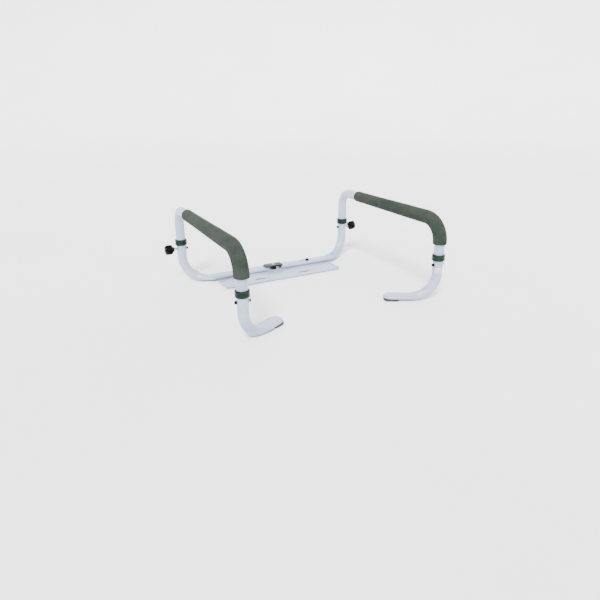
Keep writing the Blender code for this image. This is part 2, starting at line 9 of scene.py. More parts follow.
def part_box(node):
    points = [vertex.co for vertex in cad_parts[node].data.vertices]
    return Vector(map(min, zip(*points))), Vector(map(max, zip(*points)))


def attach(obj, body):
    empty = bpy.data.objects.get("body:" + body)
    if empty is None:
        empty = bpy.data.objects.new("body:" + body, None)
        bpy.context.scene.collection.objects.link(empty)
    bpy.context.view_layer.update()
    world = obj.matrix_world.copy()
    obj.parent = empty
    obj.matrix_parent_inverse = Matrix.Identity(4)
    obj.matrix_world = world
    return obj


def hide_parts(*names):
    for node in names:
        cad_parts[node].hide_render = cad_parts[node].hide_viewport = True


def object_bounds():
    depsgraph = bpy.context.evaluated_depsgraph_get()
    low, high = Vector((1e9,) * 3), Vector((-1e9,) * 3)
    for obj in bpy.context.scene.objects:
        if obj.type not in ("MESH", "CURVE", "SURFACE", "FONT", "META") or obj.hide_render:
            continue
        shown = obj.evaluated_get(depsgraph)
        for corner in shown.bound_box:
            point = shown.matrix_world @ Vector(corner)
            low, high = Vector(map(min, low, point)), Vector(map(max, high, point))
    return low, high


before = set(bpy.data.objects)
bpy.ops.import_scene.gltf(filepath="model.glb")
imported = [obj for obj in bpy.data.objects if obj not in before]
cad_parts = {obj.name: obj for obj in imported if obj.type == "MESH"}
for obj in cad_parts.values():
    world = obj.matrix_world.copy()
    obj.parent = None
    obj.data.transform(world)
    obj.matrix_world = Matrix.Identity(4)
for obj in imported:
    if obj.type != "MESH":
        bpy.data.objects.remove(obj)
CAD_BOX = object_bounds()

SIDES = 56                        # facets round a tube
LABELS = {-1: "left", 1: "right"}


def box_centre(node):
    low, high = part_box(node)
    return (Vector(low) + Vector(high)) / 2


def box_size(node):
    low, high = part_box(node)
    return Vector(high) - Vector(low)


# Places and sizes read from the frame
POST_X = box_centre("right_front_collar").x
FRONT_Y = box_centre("right_front_collar").y
REAR_Y = box_centre("right_rear_collar").y
COLLAR_Z = box_centre("right_front_collar").z
COLLAR_R = box_size("right_front_collar").x / 2
COLLAR_HEIGHT = box_size("right_front_collar").z
BOLT_Z = box_centre("right_front_bolt").z
RAIL_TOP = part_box("right_handrail")[1][2]
LEG_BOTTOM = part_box("right_handrail")[0][2]
PLATE_LOW, PLATE_HIGH = [Vector(corner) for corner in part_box("mounting_plate")]
GUIDE_LOW, GUIDE_HIGH = [Vector(corner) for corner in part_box("centre_guide")]
GRIP_LOW, GRIP_HIGH = [Vector(corner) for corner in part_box("right_grip")]
CLAMP_X = box_centre("right_width_bolt").x
BAR_Y = box_centre("right_width_bolt").y

# Tube stock and bends
TUBE_R = 0.0127
LEG_R = 0.0102
TUBE_WALL = 0.0014
BORE_R = 0.0114
RAIL_Z = RAIL_TOP - TUBE_R
REAR_BEND_R = 0.040
FRONT_BEND_R = 0.055
LOWER_BEND_R = 0.062
SHOULDER_Z = COLLAR_Z + 0.0018
SWAGE_LENGTH = 0.004
RUN_Z = 0.0125
FRONT_RUN_ANGLE = math.radians(30)
REAR_RUN_ANGLE = math.radians(26)
FRONT_RUN_LENGTH = 0.134
KNEE_R = 0.020
BAR_END_X = 0.024
TAB_HALF_WIDTH = 0.020
TAB_HALF_HEIGHT = 0.0035
BAR_HALF_WIDTH = 0.019
BAR_HALF_HEIGHT = 0.0039
PRESS_LENGTH = 0.045              # length over which a round tube is pressed flat
TAB_PRESS_PAST_BEND = 0.012
BAR_PRESS_MARGIN = 0.010
NOSE_ANGLES = (10, 20, 30, 40, 50, 60, 68, 75, 81, 86)
BORE_RINGS = 20                   # rings of a side tube that have a bore inside them
RING_SPACING = 0.0035
LOWER_BEND_STEPS = 30
LEG_BORE_DEPTH = 0.060

# Foam grip
GRIP_R_REAR = 0.0156
GRIP_R_FRONT = 0.0174
GRIP_REAR_ROUND = 0.0045
GRIP_FRONT_ROUND = 0.0022
GRIP_BORE_R = TUBE_R + 0.00015
GRIP_SPACING = 0.0025
GRIP_HEAD_STEPS = (0.0002, 0.0006, 0.0012, 0.0020, 0.0030, 0.0045)
GRIP_TAIL_SHARES = (0.25, 0.45, 0.60, 0.72, 0.82, 0.90, 0.96, 1.0)
FOLD_DEPTH = 0.00035
FOLD_COUNT = 7
LUMP_HEIGHT = 0.00022
LUMP_SCALE = 38.0                 # lumps a metre
LUMP_REACH = 0.0172

# Cross bolts
BOLT_R = 0.0025
HOLE_R = 0.0029
LIFT = 0.025
WIDEN_IN = 0.010
WIDEN_OUT = 0.025
WASHER_START = TUBE_R + 0.0003
WASHER_T = 0.0008
WASHER_R = 0.0050
NUT_R = 0.0042
NUT_LENGTH = 0.0045
CAP_START = WASHER_START + WASHER_T + 0.0003

# Knob
KNOB_BORE_R = 0.0039
KNOB_HUB_R = 0.0072
KNOB_CROWN_R = 0.0140
KNOB_LOBE = 0.0050
LOBE_SHARPNESS = 0.85
SHOULDER_R = 0.0036
SHOULDER_END = 0.0380
SOCKET_END = 0.0383

# Bracket, pads and label
PLATE_CORNER_R = 0.014
HINGE_X = 0.070
HINGE_FROM_EDGE = 0.026
HINGE_SLOT = (0.036, 0.012)
GASKET_SLOT = (0.037, 0.013)
GASKET_CORNER_R = 0.008
SCREW_HOLE_R = 0.0025
COVER_T = 0.0042
BOSS_HALF_X = 0.0065
RIB_X = 0.0175
RIB_PITCH = 0.0065
PAD_HALF_X = 0.020
PAD_HALF_Y = 0.019
PAD_CORNER_R = 0.012
GROOVE_PITCH = 0.0062
CLAMP_WASHER_R = 0.009
LABEL_BELOW_COLLAR = 0.0330
LABEL_HALF_HEIGHT = 0.0080
LABEL_HALF_ANGLE = math.radians(44)
LABEL_FACING = math.radians(-118)
LABEL_CORNER_R = 0.003


# ---------------------------------------------------------------- materials

class Nodes:
    """A short way to build one material's node tree."""

    def __init__(self, name):
        self.material = bpy.data.materials.new(name)
        self.material.use_nodes = True
        self.tree = self.material.node_tree
        self.shader = self.tree.nodes["Principled BSDF"]
        self.place = self.add("ShaderNodeTexCoord").outputs["Object"]

    def add(self, kind, **settings):
        node = self.tree.nodes.new(kind)
        for key, value in settings.items():
            setattr(node, key, value)
        return node

    def link(self, output, target):
        self.tree.links.new(output, target)

    def set(self, **values):
        for key, value in values.items():
            self.shader.inputs[key.replace("_", " ")].default_value = value

    def noise(self, scale, detail=3.0, rough=0.5, stretch=None):
        node = self.add("ShaderNodeTexNoise")
        node.inputs["Scale"].default_value = scale
        node.inputs["Detail"].default_value = detail
        node.inputs["Roughness"].default_value = rough
        self.link(self.stretched(stretch), node.inputs["Vector"])
        return node.outputs["Fac"]

    def cells(self, scale, feature="F1"):
        node = self.add("ShaderNodeTexVoronoi", feature=feature)
        node.inputs["Scale"].default_value = scale
        self.link(self.place, node.inputs["Vector"])
        return node.outputs["Distance"]

    def stretched(self, stretch):
        if stretch is None:
            return self.place
        mapping = self.add("ShaderNodeMapping")
        mapping.inputs["Scale"].default_value = stretch
        self.link(self.place, mapping.inputs["Vector"])
        return mapping.outputs["Vector"]

    def ramp(self, value, stops):
        node = self.add("ShaderNodeValToRGB")
        ramp = node.color_ramp
        ramp.elements[0].position, ramp.elements[1].position = stops[0][0], stops[-1][0]
        for position, _ in stops[1:-1]:
            ramp.elements.new(position)
        for element, (_, colour) in zip(ramp.elements, stops):
            element.color = (*colour, 1.0)
        self.link(value, node.inputs["Fac"])
        return node.outputs["Color"]

    def mix(self, factor, first, second, blend="MIX"):
        node = self.add("ShaderNodeMix", data_type="RGBA", blend_type=blend)
        if isinstance(factor, float):
            node.inputs[0].default_value = factor
        else:
            self.link(factor, node.inputs[0])
        self.link(first, node.inputs[6])
        self.link(second, node.inputs[7])
        return node.outputs[2]

    def spread(self, value, low, high, low_in=0.0, high_in=1.0):
        node = self.add("ShaderNodeMapRange")
        node.inputs["From Min"].default_value = low_in
        node.inputs["From Max"].default_value = high_in
        node.inputs["To Min"].default_value = low
        node.inputs["To Max"].default_value = high
        self.link(value, node.inputs["Value"])
        return node.outputs["Result"]

    def bump(self, height, strength, distance, after=None):
        node = self.add("ShaderNodeBump")
        node.inputs["Strength"].default_value = strength
        node.inputs["Distance"].default_value = distance
        self.link(height, node.inputs["Height"])
        if after is not None:
            self.link(after, node.inputs["Normal"])
        return node.outputs["Normal"]

    def finish(self, colour=None, roughness=None, normal=None):
        if colour is not None:
            self.link(colour, self.shader.inputs["Base Color"])
        if roughness is not None:
            self.link(roughness, self.shader.inputs["Roughness"])
        if normal is not None:
            self.link(normal, self.shader.inputs["Normal"])
        return self.material


def powder_coat():
    """White powder coat: soft gloss, fine orange peel, faint cloudiness."""
    nodes = Nodes("powder_coat")
    clouds = nodes.noise(14.0, 4.0)
    colour = nodes.ramp(clouds, [(0.30, (0.23, 0.28, 0.40)), (0.55, (0.29, 0.335, 0.46)),
                                 (0.75, (0.35, 0.385, 0.50))])
    scuffs = nodes.noise(160.0, 6.0, 0.7)
    rough = nodes.spread(scuffs, 0.26, 0.42, 0.3, 0.7)
    peel = nodes.bump(nodes.noise(620.0, 2.0), 0.14, 0.0003)
    waves = nodes.bump(nodes.noise(70.0, 2.0), 0.05, 0.0008, peel)
    nodes.set(Coat_Weight=0.25, Coat_Roughness=0.12)
    return nodes.finish(colour, rough, waves)


def foam():
    """Closed-cell foam: matt, finely pitted, blotched between olive brown and dark green."""
    nodes = Nodes("grip_foam")
    blotches = nodes.noise(26.0, 5.0, 0.6)
    base = nodes.ramp(blotches, [(0.30, (0.015, 0.026, 0.019)), (0.50, (0.024, 0.033, 0.025)),
                                 (0.72, (0.038, 0.040, 0.031))])
    specks = nodes.ramp(nodes.noise(900.0, 4.0, 0.75),
                        [(0.40, (0.55, 0.56, 0.55)), (0.62, (1.0, 1.0, 1.0))])
    colour = nodes.mix(0.75, base, specks, "MULTIPLY")
    rough = nodes.spread(nodes.noise(300.0), 0.78, 0.96, 0.3, 0.7)
    pits = nodes.bump(nodes.cells(760.0), 0.55, 0.0006)
    grain = nodes.bump(nodes.noise(1500.0, 3.0, 0.7), 0.35, 0.0003, pits)
    dents = nodes.bump(nodes.noise(55.0, 3.0), 0.25, 0.0018, grain)
    nodes.set(Specular_IOR_Level=0.15)
    return nodes.finish(colour, rough, dents)


def moulded_plastic(name, dark, light, low_rough, high_rough, shine):
    """Moulded plastic with a spark-eroded texture and slight flow marks."""
    nodes = Nodes(name)
    colour = nodes.ramp(nodes.noise(45.0, 4.0), [(0.3, dark), (0.7, light)])
    rough = nodes.spread(nodes.noise(240.0, 4.0), low_rough, high_rough, 0.3, 0.7)
    texture = nodes.bump(nodes.noise(1300.0, 3.0, 0.6), 0.22, 0.0003)
    flow = nodes.bump(nodes.noise(60.0, 2.0, stretch=(1.0, 1.0, 0.3)), 0.06, 0.0010, texture)
    nodes.set(Specular_IOR_Level=shine)
    return nodes.finish(colour, rough, flow)


def zinc_plate():
    """Bright zinc: metal with fine turning marks and a mottled sheen."""
    nodes = Nodes("zinc_plate")
    colour = nodes.ramp(nodes.noise(190.0, 4.0), [(0.3, (0.50, 0.50, 0.49)), (0.7, (0.68, 0.68, 0.66))])
    rough = nodes.spread(nodes.noise(420.0, 3.0), 0.20, 0.40, 0.3, 0.7)
    marks = nodes.bump(nodes.noise(900.0, 2.0, stretch=(6.0, 0.6, 0.6)), 0.18, 0.0002)
    nodes.set(Metallic=1.0)
    return nodes.finish(colour, rough, marks)


def rubber():
    """Black rubber: matt, grainy, a little dusty."""
    nodes = Nodes("pad_rubber")
    colour = nodes.ramp(nodes.noise(80.0, 5.0),
                        [(0.3, (0.014, 0.015, 0.015)), (0.7, (0.030, 0.031, 0.030))])
    rough = nodes.spread(nodes.noise(300.0), 0.66, 0.90, 0.3, 0.7)
    grain = nodes.bump(nodes.noise(1100.0, 4.0, 0.7), 0.35, 0.0003)
    return nodes.finish(colour, rough, grain)


def blank_label():
    """A plain sticker with nothing printed on it."""
    nodes = Nodes("blank_label")
    colour = nodes.ramp(nodes.noise(120.0, 3.0), [(0.3, (0.42, 0.44, 0.46)), (0.7, (0.50, 0.52, 0.54))])
    rough = nodes.spread(nodes.noise(700.0), 0.30, 0.44, 0.3, 0.7)
    fibre = nodes.bump(nodes.noise(1600.0, 2.0), 0.10, 0.0002)
    return nodes.finish(colour, rough, fibre)


WHITE = powder_coat()
FOAM = foam()
GREEN = moulded_plastic("collar_plastic", (0.002, 0.009, 0.005), (0.005, 0.017, 0.010), 0.30, 0.48, 0.14)
BLACK = moulded_plastic("knob_plastic", (0.001, 0.001, 0.001), (0.002, 0.002, 0.002), 0.30, 0.48, 0.06)
STEEL = zinc_plate()
RUBBER = rubber()
LABEL = blank_label()


# ---------------------------------------------------------------- mesh tools

def add_piece(name, mesh, material, body, replaces=None, matrix=None):
    """One visual piece: smooth, finished, riding on its body and standing for its CAD node."""
    piece = bpy.data.objects.new(name, mesh)
    bpy.context.scene.collection.objects.link(piece)
    if matrix is not None:
        mesh.transform(matrix)
    mesh.materials.clear()
    mesh.materials.append(material)
    for polygon in mesh.polygons:
        polygon.use_smooth = True
    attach(piece, body)
    if replaces:
        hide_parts(replaces)
    return piece


def mesh_from(build, name):
    shape = bmesh.new()
    build(shape)
    bmesh.ops.recalc_face_normals(shape, faces=shape.faces)
    mesh = bpy.data.meshes.new(name)
    shape.to_mesh(mesh)
    shape.free()
    return mesh


def skin_mesh(name, rings):
    """Join rings of points into one closed skin, with a face over the first and the last."""
    def build(shape):
        loops = [[shape.verts.new(point) for point in ring] for ring in rings]
        count = len(rings[0])
        for lower, upper in zip(loops, loops[1:]):
            for step in range(count):
                following = (step + 1) % count
                shape.faces.new((lower[step], lower[following], upper[following], upper[step]))
        shape.faces.new(loops[0])
        shape.faces.new(loops[-1])
    return mesh_from(build, name)


def turned_mesh(name, profile, steps=48):
    """Spin (radius, height) points about Z: a profile from the axis, or a closed ring."""
    def build(shape):
        ring = profile[0][0] > 0
        verts = [shape.verts.new((radius, 0.0, height)) for radius, height in profile]
        edges = [shape.edges.new(pair) for pair in zip(verts, verts[1:])]
        if ring:
            edges.append(shape.edges.new((verts[-1], verts[0])))
        bmesh.ops.spin(shape, geom=verts + edges, cent=(0, 0, 0), axis=(0, 0, 1), angle=2 * math.pi,
                       steps=steps, use_merge=True, use_duplicate=False)
        bmesh.ops.remove_doubles(shape, verts=shape.verts, dist=0.000002)
    return mesh_from(build, name)


def softened(points, radius, steps=4, closed=False):
    """Round the corners of a profile, so that its edges catch the light."""
    points = [Vector(point) for point in points]
    result = []
    last = len(points) - 1
    for index, point in enumerate(points):
        if not closed and index in (0, last):
            result.append(tuple(point))
            continue
        back = points[index - 1] - point
        ahead = points[(index + 1) % len(points)] - point
        reach = min(radius, back.length * 0.45, ahead.length * 0.45)
        start = point + back.normalized() * reach
        end = point + ahead.normalized() * reach
        for step in range(steps + 1):
            share = step / steps
            result.append(tuple(start.lerp(point, share).lerp(point.lerp(end, share), share)))
    return result


def rounded_path(corners, radii, steps):
    """Points of a path whose inner corners are arcs, each in its own number of steps."""
    corners = [Vector(corner) for corner in corners]
    points = [corners[0]]
    for before, corner, after, radius, count in zip(corners, corners[1:], corners[2:], radii, steps):
        back = (before - corner).normalized()
        ahead = (after - corner).normalized()
        half = back.angle(ahead) / 2
        centre = corner + (back + ahead).normalized() * (radius / math.sin(half))
        start = corner + back * (radius / math.tan(half)) - centre
        axis = start.cross(corner + ahead * (radius / math.tan(half)) - centre).normalized()
        for step in range(count + 1):
            turn = Matrix.Rotation((math.pi - 2 * half) * step / count, 3, axis)
            points.append(centre + turn @ start)
    points.append(corners[-1])
    return points


def path_lengths(points):
    lengths = [0.0]
    for before, after in zip(points, points[1:]):
        lengths.append(lengths[-1] + (after - before).length)
    return lengths


def resampled(points, spacing):
    """The same path with extra points, none further apart than the spacing."""
    result = [points[0]]
    for before, after in zip(points, points[1:]):
        count = max(1, math.ceil((after - before).length / spacing))
        result += [before.lerp(after, step / count) for step in range(1, count + 1)]
    return result


def heading(points, index):
    ahead = points[min(index + 1, len(points) - 1)] - points[max(index - 1, 0)]
    return ahead.normalized()


def flat_ring(centre, sideways, upward, half_width, half_height):
    """Points round a flattened tube: two half circles joined by flats."""
    shift = half_width - half_height
    points = []
    for step in range(SIDES):
        angle = 2 * math.pi * (step + 0.5) / SIDES
        across = half_height * math.cos(angle) + math.copysign(shift, math.cos(angle))
        points.append(centre + sideways * across + upward * (half_height * math.sin(angle)))
    return points


def smooth_step(value):
    value = min(max(value, 0.0), 1.0)
    return value * value * (3 - 2 * value)


def outward(side, y, z):
    """Place a shape whose local +Z points away from the middle, on a post's cross bolt."""
    return Matrix.Translation((side * POST_X, y, z)) @ Matrix.Rotation(side * math.pi / 2, 4, "Y")


def carve(piece, mesh, matrix=None, operation="DIFFERENCE"):
    """Cut a shape out of a piece, or join it on, and apply the result."""
    tool = bpy.data.objects.new("tool", mesh)
    bpy.context.scene.collection.objects.link(tool)
    if matrix is not None:
        tool.matrix_world = matrix
    boolean = piece.modifiers.new("carve", "BOOLEAN")
    boolean.operation = operation
    boolean.solver = "EXACT"
    boolean.object = tool
    apply_modifiers(piece)
    bpy.data.objects.remove(tool)


def apply_modifiers(piece):
    graph = bpy.context.evaluated_depsgraph_get()
    mesh = bpy.data.meshes.new_from_object(piece.evaluated_get(graph))
    piece.modifiers.clear()
    piece.data = mesh
    for polygon in mesh.polygons:
        polygon.use_smooth = True


def round_edges(piece, width, segments=3):
    bevel = piece.modifiers.new("round_edges", "BEVEL")
    bevel.width = width
    bevel.segments = segments
    bevel.limit_method = "ANGLE"
    bevel.angle_limit = math.radians(38)
    bevel.harden_normals = True


def plate_mesh(name, outline, thickness):
    """A plate with the given outline, centred on z = 0."""
    def build(shape):
        face = shape.faces.new([shape.verts.new((x, y, -thickness / 2)) for x, y in outline])
        lifted = bmesh.ops.extrude_face_region(shape, geom=[face])
        top = [item for item in lifted["geom"] if isinstance(item, bmesh.types.BMVert)]
        bmesh.ops.translate(shape, verts=top, vec=(0, 0, thickness))
    return mesh_from(build, name)


def rounded_rectangle(half_x, half_y, radius, steps=10):
    points = []
    for corner, (sign_x, sign_y) in enumerate([(1, 1), (-1, 1), (-1, -1), (1, -1)]):
        for step in range(steps + 1):
            angle = math.pi / 2 * (corner + step / steps)
            points.append((sign_x * (half_x - radius) + radius * math.cos(angle),
                           sign_y * (half_y - radius) + radius * math.sin(angle)))
    return points


def slot_mesh(length, width, depth):
    return plate_mesh("slot", rounded_rectangle(length / 2, width / 2, width / 2 - 0.00001, 8), depth)


def cylinder_mesh(radius, length, sides=32):
    def build(shape):
        bmesh.ops.create_cone(shape, cap_ends=True, segments=sides, radius1=radius, radius2=radius,
                              depth=length, matrix=Matrix.Translation((0, 0, length / 2)))
    return mesh_from(build, "cylinder")


# ---------------------------------------------------------------- arm rail and grip

def round_rings(points, radii):
    """Rings for a round tube in a plane of constant X."""
    across = Vector((1, 0, 0))
    rings = []
    for index, (point, radius) in enumerate(zip(points, radii)):
        upward = across.cross(heading(points, index)).normalized()
        rings.append([point + across * (radius * math.cos(2 * math.pi * step / SIDES))
                      + upward * (radius * math.sin(2 * math.pi * step / SIDES)) for step in range(SIDES)])
    return rings


def shrunk_ring(ring, centre, share):
    return [centre + (point - centre) * share for point in ring]


def shifted_ring(ring, shift):
    return [point + shift for point in ring]


def swage_radius(z):
    """Tube radius near the foot of a leg: full above the swage, reduced below it."""
    share = smooth_step((z - SHOULDER_Z) / SWAGE_LENGTH)
    return LEG_R + (TUBE_R - LEG_R) * share


def make_handrail(side):
    """An arm rail with two bends, swaged legs and a slot for each cross bolt."""
    label = LABELS[side]
    x = side * POST_X
    corners = [(x, REAR_Y, LEG_BOTTOM), (x, REAR_Y, RAIL_Z),
               (x, FRONT_Y, RAIL_Z), (x, FRONT_Y, LEG_BOTTOM)]
    bends = rounded_path(corners, [REAR_BEND_R, FRONT_BEND_R], [20, 24])
    swage = [SHOULDER_Z + SWAGE_LENGTH * step / 6 for step in range(7)]
    up = [Vector((x, REAR_Y, z)) for z in swage]
    down = [Vector((x, FRONT_Y, z)) for z in reversed(swage)]
    points = [bends[0]] + up + bends[1:-1] + down + [bends[-1]]
    radii = [swage_radius(point.z) for point in points]
    outer = round_rings(points, radii)
    inset = Vector((0, 0, LEG_BORE_DEPTH))
    share = 1 - TUBE_WALL / LEG_R
    start = shrunk_ring(outer[0], points[0], share)
    end = shrunk_ring(outer[-1], points[-1], share)
    rings = [shifted_ring(start, inset), start] + outer + [end, shifted_ring(end, inset)]
    mesh = skin_mesh(label + "_rail", rings)
    piece = add_piece(label + "_rail_tube", mesh, WHITE, label + "_rail",
                      label + "_handrail")
    for y in (REAR_Y, FRONT_Y):
        place = Matrix.Translation((0, 0, -LIFT / 2)) @ outward(side, y, BOLT_Z)
        carve(piece, slot_mesh(LIFT + 2 * HOLE_R, 2 * HOLE_R, 4 * TUBE_R), place)
    return piece


def sleeve_mesh(name, rings, bores):
    """A closed sleeve: down the outside rings and back up the bore rings."""
    def build(shape):
        loops = [[shape.verts.new(point) for point in ring] for ring in rings + bores[::-1]]
        for lower, upper in zip(loops, loops[1:] + loops[:1]):
            for step in range(SIDES):
                following = (step + 1) % SIDES
                shape.faces.new((lower[step], lower[following], upper[following], upper[step]))
    return mesh_from(build, name)


def grip_radius(share, from_start, from_end):
    """Foam radius along the sleeve: fatter to the front, with rounded ends."""
    body = GRIP_R_REAR + (GRIP_R_FRONT - GRIP_R_REAR) * smooth_step((share - 0.10) / 0.65)
    wall = body - TUBE_R
    rear_round = math.sqrt(max(0.0, 1 - (1 - min(from_start / GRIP_REAR_ROUND, 1.0)) ** 2))
    front_round = math.sqrt(max(0.0, 1 - (1 - min(from_end / GRIP_FRONT_ROUND, 1.0)) ** 2))
    return TUBE_R + wall * (0.30 + 0.70 * rear_round) * (0.55 + 0.45 * front_round)


def crease(bend_share):
    """Height of the small compression folds on the inside of the bend."""
    if not 0.0 < bend_share < 1.0:
        return 0.0
    fade = math.sin(math.pi * bend_share) ** 2
    return -FOLD_DEPTH * fade * (0.5 + 0.5 * math.cos(2 * math.pi * FOLD_COUNT * bend_share))


def grip_points(path):
    """Points along the sleeve, closer together at both of its ends."""
    start_length = (path[1] - path[0]).length
    foot_length = (path[-1] - path[-2]).length
    head = [path[0].lerp(path[1], reach / start_length) for reach in GRIP_HEAD_STEPS]
    points = resampled([path[0]] + head + path[1:-1], GRIP_SPACING)
    tail = [path[-2].lerp(path[-1], share) for share in GRIP_TAIL_SHARES]
    return points + (tail if foot_length > 0.0005 else [path[-1]])


def grip_ring(point, upward, base, fold):
    """One outside ring of the sleeve, with its lumps and its share of a fold."""
    across = Vector((1, 0, 0))
    ring = []
    for step in range(SIDES):
        angle = 2 * math.pi * step / SIDES
        spoke = across * math.cos(angle) + upward * math.sin(angle)
        lump = noise.noise((point + spoke * LUMP_REACH) * LUMP_SCALE) * LUMP_HEIGHT
        inside = max(0.0, math.sin(angle))
        ring.append(point + spoke * (base + lump + fold * inside))
    return ring


def make_grip(side):
    """A foam sleeve, uneven to the hand, with faint folds inside the front bend."""
    label = LABELS[side]
    x = side * POST_X
    corners = [(x, GRIP_HIGH.y, RAIL_Z), (x, FRONT_Y, RAIL_Z), (x, FRONT_Y, GRIP_LOW.z)]
    path = rounded_path(corners, [FRONT_BEND_R], [40])
    points = grip_points(path)
    lengths = path_lengths(points)
    total = lengths[-1]
    bend_start = (path[1] - path[0]).length
    bend_length = FRONT_BEND_R * math.pi / 2
    rings = []
    for index, (point, length) in enumerate(zip(points, lengths)):
        upward = Vector((1, 0, 0)).cross(heading(points, index)).normalized()
        base = grip_radius(length / total, length, total - length)
        rings.append(grip_ring(point, upward, base, crease((length - bend_start) / bend_length)))
    bores = round_rings(points, [GRIP_BORE_R] * len(points))
    mesh = sleeve_mesh(label + "_foam", rings, bores)
    piece = add_piece(label + "_foam_grip", mesh, FOAM, label + "_rail",
                      label + "_grip")
    return piece


# ---------------------------------------------------------------- side tubes

def level_frames(points, first_plan):
    """Sideways and upward directions along a path that starts straight down."""
    frames = []
    plan = first_plan.normalized()
    for index in range(len(points)):
        ahead = heading(points, index)
        level = Vector((ahead.x, ahead.y, 0))
        if level.length > 0.05:
            plan = level.normalized()
        sideways = Vector((-plan.y, plan.x, 0))
        frames.append((sideways, sideways.cross(ahead).normalized()))
    return frames


def pressed_mesh(name, points, first_plan, sizes, bore_points):
    """A tube skin: up its bore, over the rolled rim, then down the outside to the pressed end."""
    frames = level_frames(points, first_plan)
    outer = [flat_ring(point, sideways, upward, width, height)
             for point, (sideways, upward), (width, height) in zip(points, frames, sizes)]
    inner = [flat_ring(point, sideways, upward, BORE_R, BORE_R)
             for point, (sideways, upward) in zip(points[:bore_points], frames)]
    return skin_mesh(name, inner[::-1] + outer)


def pressed_sizes(lengths, flat_start, half_width, half_height):
    """Half width and half height at each length, pressed flat from flat_start on."""
    sizes = []
    for length in lengths:
        share = smooth_step(1 + (length - flat_start) / PRESS_LENGTH)
        sizes.append((TUBE_R + (half_width - TUBE_R) * share, TUBE_R + (half_height - TUBE_R) * share))
    return sizes


def make_front_tube(side):
    """The tube below the front leg, pressed flat into a round-nosed tab."""
    label = LABELS[side]
    x = side * POST_X
    inward = Vector((-side * math.cos(FRONT_RUN_ANGLE), math.sin(FRONT_RUN_ANGLE), 0))
    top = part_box(label + "_front_tube")[1][2]
    foot = Vector((x, FRONT_Y, RUN_Z))
    nose = foot + inward * FRONT_RUN_LENGTH
    corners = [(x, FRONT_Y, top), foot, nose - inward * TAB_HALF_WIDTH]
    path = rounded_path(corners, [LOWER_BEND_R], [LOWER_BEND_STEPS])
    points = resampled(path, RING_SPACING)
    bend_end = path_lengths(path)[LOWER_BEND_STEPS + 1]
    turns = [math.radians(angle) for angle in NOSE_ANGLES]
    points += [nose - inward * TAB_HALF_WIDTH * (1 - math.sin(turn)) for turn in turns]
    lengths = path_lengths(points)
    sizes = pressed_sizes(lengths, bend_end + TAB_PRESS_PAST_BEND, TAB_HALF_WIDTH, TAB_HALF_HEIGHT)
    for index, turn in enumerate(turns, len(points) - len(turns)):
        height = TAB_HALF_HEIGHT * (0.55 + 0.45 * math.sqrt(math.cos(turn)))
        sizes[index] = (max(TAB_HALF_WIDTH * math.cos(turn), height), height)
    mesh = pressed_mesh(label + "_front_lower", points, inward, sizes, BORE_RINGS)
    piece = add_piece(label + "_front_lower_tube", mesh, WHITE, label + "_side",
                      label + "_front_tube")
    drill_bolt_hole(piece, side, FRONT_Y)
    return piece


def drill_bolt_hole(piece, side, y):
    reach = 2 * TUBE_R
    place = outward(side, y, BOLT_Z) @ Matrix.Translation((0, 0, -reach))
    carve(piece, cylinder_mesh(HOLE_R, 2 * reach), place)


def make_rear_tube(side):
    """The tube below the rear leg, pressed flat into a slotted bar."""
    label = LABELS[side]
    x = side * POST_X
    inward = Vector((-side * math.cos(REAR_RUN_ANGLE), -math.sin(REAR_RUN_ANGLE), 0))
    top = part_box(label + "_rear_tube")[1][2]
    foot = Vector((x, REAR_Y, RUN_Z))
    knee = foot + inward * ((REAR_Y - BAR_Y) / math.sin(REAR_RUN_ANGLE))
    bar_end = Vector((side * BAR_END_X, BAR_Y, RUN_Z))
    path = rounded_path([(x, REAR_Y, top), foot, knee, bar_end], [LOWER_BEND_R, KNEE_R],
                        [LOWER_BEND_STEPS, 10])
    flat_end = path_lengths(path)[-2]
    points = resampled(path, RING_SPACING)
    lengths = path_lengths(points)
    sizes = pressed_sizes(lengths, flat_end - BAR_PRESS_MARGIN, BAR_HALF_WIDTH, BAR_HALF_HEIGHT)
    mesh = pressed_mesh(label + "_rear_lower", points, inward, sizes, BORE_RINGS)
    piece = add_piece(label + "_rear_lower_tube", mesh, WHITE, label + "_side",
                      label + "_rear_tube")
    drill_bolt_hole(piece, side, REAR_Y)
    middle = side * (CLAMP_X + (WIDEN_IN - WIDEN_OUT) / 2)
    slot = slot_mesh(WIDEN_IN + WIDEN_OUT + 2 * HOLE_R, 2 * HOLE_R, 4 * BAR_HALF_HEIGHT)
    carve(piece, slot, Matrix.Translation((middle, BAR_Y, RUN_Z)))
    return piece


# ---------------------------------------------------------------- collars, knobs and fasteners

def make_collar(side, end, y):
    """Moulded collar with a rolled top lip, a waist groove and a fine parting step."""
    label = LABELS[side]
    half = COLLAR_HEIGHT / 2
    bore = TUBE_R + 0.0002
    lip = LEG_R + 0.0009
    profile = [(bore, -half), (COLLAR_R - 0.0004, -half), (COLLAR_R, 0.0012 - half), (COLLAR_R, -0.0011),
               (COLLAR_R - 0.0009, -0.0007), (COLLAR_R - 0.0009, 0.0007), (COLLAR_R, 0.0011),
               (COLLAR_R, half - 0.0022), (COLLAR_R - 0.0009, half - 0.0004), (bore + 0.0012, half),
               (bore + 0.0002, half - 0.0008), (bore, 0.0015), (lip, 0.0015), (lip, 0.0), (bore, 0.0)]
    mesh = turned_mesh("collar", softened(profile, 0.0007, 3, closed=True), 64)
    node = label + "_" + end + "_collar"
    place = Matrix.Translation((side * POST_X, y, COLLAR_Z))
    add_piece(node + "_ring", mesh, GREEN, label + "_side", node, place)


def washer_mesh(outer=WASHER_R):
    inner = HOLE_R
    profile = [(inner, 0.0), (outer, 0.0), (outer, WASHER_T), (inner, WASHER_T)]
    return turned_mesh("washer", softened(profile, 0.0002, 2, closed=True), 40)


